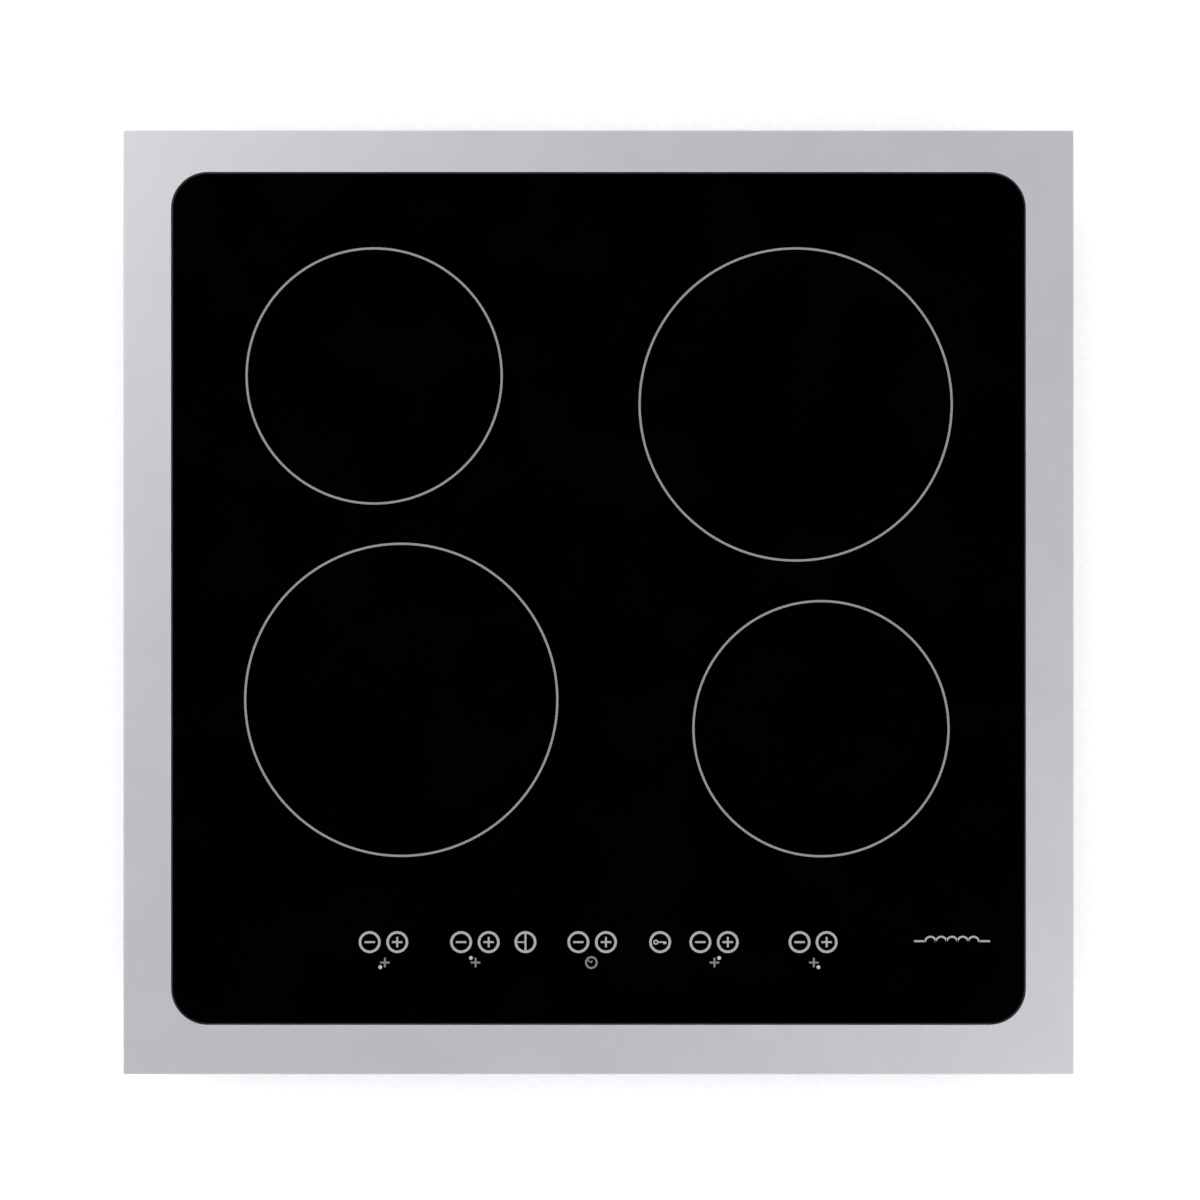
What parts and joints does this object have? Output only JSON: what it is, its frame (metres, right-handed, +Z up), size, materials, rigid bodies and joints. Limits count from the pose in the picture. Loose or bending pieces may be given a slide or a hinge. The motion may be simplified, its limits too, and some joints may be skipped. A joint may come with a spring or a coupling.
{
  "type": "electric induction cooktop",
  "caption": "Built-in induction cooktop: flush black glass in a steel trim frame, printed zones and touch keys, sheet steel underbox with swing clamps, blowers and hinged terminal cover.",
  "frame": {"origin": "on the plane of the feet, under the middle of the trim frame", "axes": "+X to the right as the cook sees it, +Y to the rear, +Z up"},
  "size_m": [0.6, 0.596, 0.058],
  "materials": {
    "trim_steel": "fine satin stainless steel",
    "black_glass": "opaque black ceramic glass, high gloss",
    "sealant": "matt black silicone",
    "print_ink": "fired light grey enamel",
    "foam": "closed-cell foam",
    "zinc_fasteners": "bright zinc plate",
    "galvanised_sheet": "galvanised steel with fine spangle",
    "label_foil": "blank silver-white label",
    "spring_steel": "plain spring steel",
    "black_plastic": "matt glass-filled plastic",
    "ivory_plastic": "heat-resistant plastic",
    "brass": "machined",
    "grommet_rubber": "matt",
    "white_plastic": "matt",
    "circuit_board": "green solder mask",
    "aluminium": "mill finish",
    "black_epoxy": "moulded epoxy",
    "capacitor_case": "smooth",
    "yellow_film": "smooth",
    "enamelled_copper": "enamelled copper wire",
    "ferrite": "sintered ferrite",
    "insulation_felt": "ceramic fibre felt",
    "sensor_ceramic": "white ceramic",
    "display_window": "smoked display face",
    "ribbon_grey": "flat cable",
    "wire_sleeve": "silicone sleeve"
  },
  "bodies": {
    "cooktop": {"trim_frame": "trim_steel", "glass_plate": "black_glass", "glass_sealant": "sealant", "zone_markings": "print_ink", "control_markings": "print_ink", "worktop_seal": "foam", "stud_nuts": "zinc_fasteners", "underbox": "galvanised_sheet", "rating_label": "label_foil", "clamp_screws": "zinc_fasteners", "terminal_box": "black_plastic", "cover_hinge_pin": "zinc_fasteners", "terminal_block": "ivory_plastic", "terminal_screws": "brass", "cable_grommet": "grommet_rubber", "earth_screw": "zinc_fasteners", "board_standoffs": "white_plastic", "power_board_left": "circuit_board", "power_board_right": "circuit_board", "heat_sink_left": "aluminium", "heat_sink_right": "aluminium", "power_transistors": "black_epoxy", "resonant_capacitors": "capacitor_case", "filter_board": "circuit_board", "filter_chokes": "enamelled_copper", "filter_capacitors": "yellow_film", "relays": "black_epoxy", "blower_housing_left": "black_plastic", "blower_housing_right": "black_plastic", "blower_motors": "enamelled_copper", "air_ducts": "white_plastic", "coil_tray": "aluminium", "coil_springs": "spring_steel", "coil_carriers": "aluminium", "ferrite_bars": "ferrite", "coil_former_rear_left": "ivory_plastic", "coil_former_rear_right": "ivory_plastic", "coil_former_front_left": "ivory_plastic", "coil_former_front_right": "ivory_plastic", "coil_rear_left": "enamelled_copper", "coil_rear_right": "enamelled_copper", "coil_front_left": "enamelled_copper", "coil_front_right": "enamelled_copper", "insulation_discs": "insulation_felt", "temperature_sensors": "sensor_ceramic", "control_carrier": "black_plastic", "control_board": "circuit_board", "displays": "display_window", "touch_springs": "spring_steel", "ribbon_cable": "ribbon_grey", "internal_wires": "wire_sleeve", "mounting_screws": "zinc_fasteners"},
    "clamp_front_left": {"clamp_front_left": "spring_steel"},
    "clamp_front_right": {"clamp_front_right": "spring_steel"},
    "clamp_rear_left": {"clamp_rear_left": "spring_steel"},
    "clamp_rear_right": {"clamp_rear_right": "spring_steel"},
    "terminal_cover": {"terminal_cover": "black_plastic"},
    "impeller_left": {"blower_rotor_left": "black_plastic"},
    "impeller_right": {"blower_rotor_right": "black_plastic"}
  },
  "joints": [
    {"name": "clamp_front_left_swing", "type": "hinge", "parent": "cooktop", "child": "clamp_front_left", "pos_m": [-0.2585, -0.19, 0.0075], "axis": [0, 0, 1], "range_deg": [0, 90]},
    {"name": "clamp_front_right_swing", "type": "hinge", "parent": "cooktop", "child": "clamp_front_right", "pos_m": [0.2585, -0.19, 0.0075], "axis": [0, 0, -1], "range_deg": [0, 90]},
    {"name": "clamp_rear_left_swing", "type": "hinge", "parent": "cooktop", "child": "clamp_rear_left", "pos_m": [-0.2585, 0.19, 0.0075], "axis": [0, 0, -1], "range_deg": [0, 90]},
    {"name": "clamp_rear_right_swing", "type": "hinge", "parent": "cooktop", "child": "clamp_rear_right", "pos_m": [0.2585, 0.19, 0.0075], "axis": [0, 0, 1], "range_deg": [0, 90]},
    {"name": "terminal_cover_hinge", "type": "hinge", "parent": "cooktop", "child": "terminal_cover", "pos_m": [0.199, 0.2005, 0.0024], "axis": [-1, 0, 0], "range_deg": [0, 105]},
    {"name": "impeller_left_spin", "type": "hinge", "parent": "cooktop", "child": "impeller_left", "pos_m": [-0.095, 0.185, 0.02], "axis": [0, 0, 1], "continuous": true},
    {"name": "impeller_right_spin", "type": "hinge", "parent": "cooktop", "child": "impeller_right", "pos_m": [0.095, 0.185, 0.02], "axis": [0, 0, 1], "continuous": true}
  ]
}
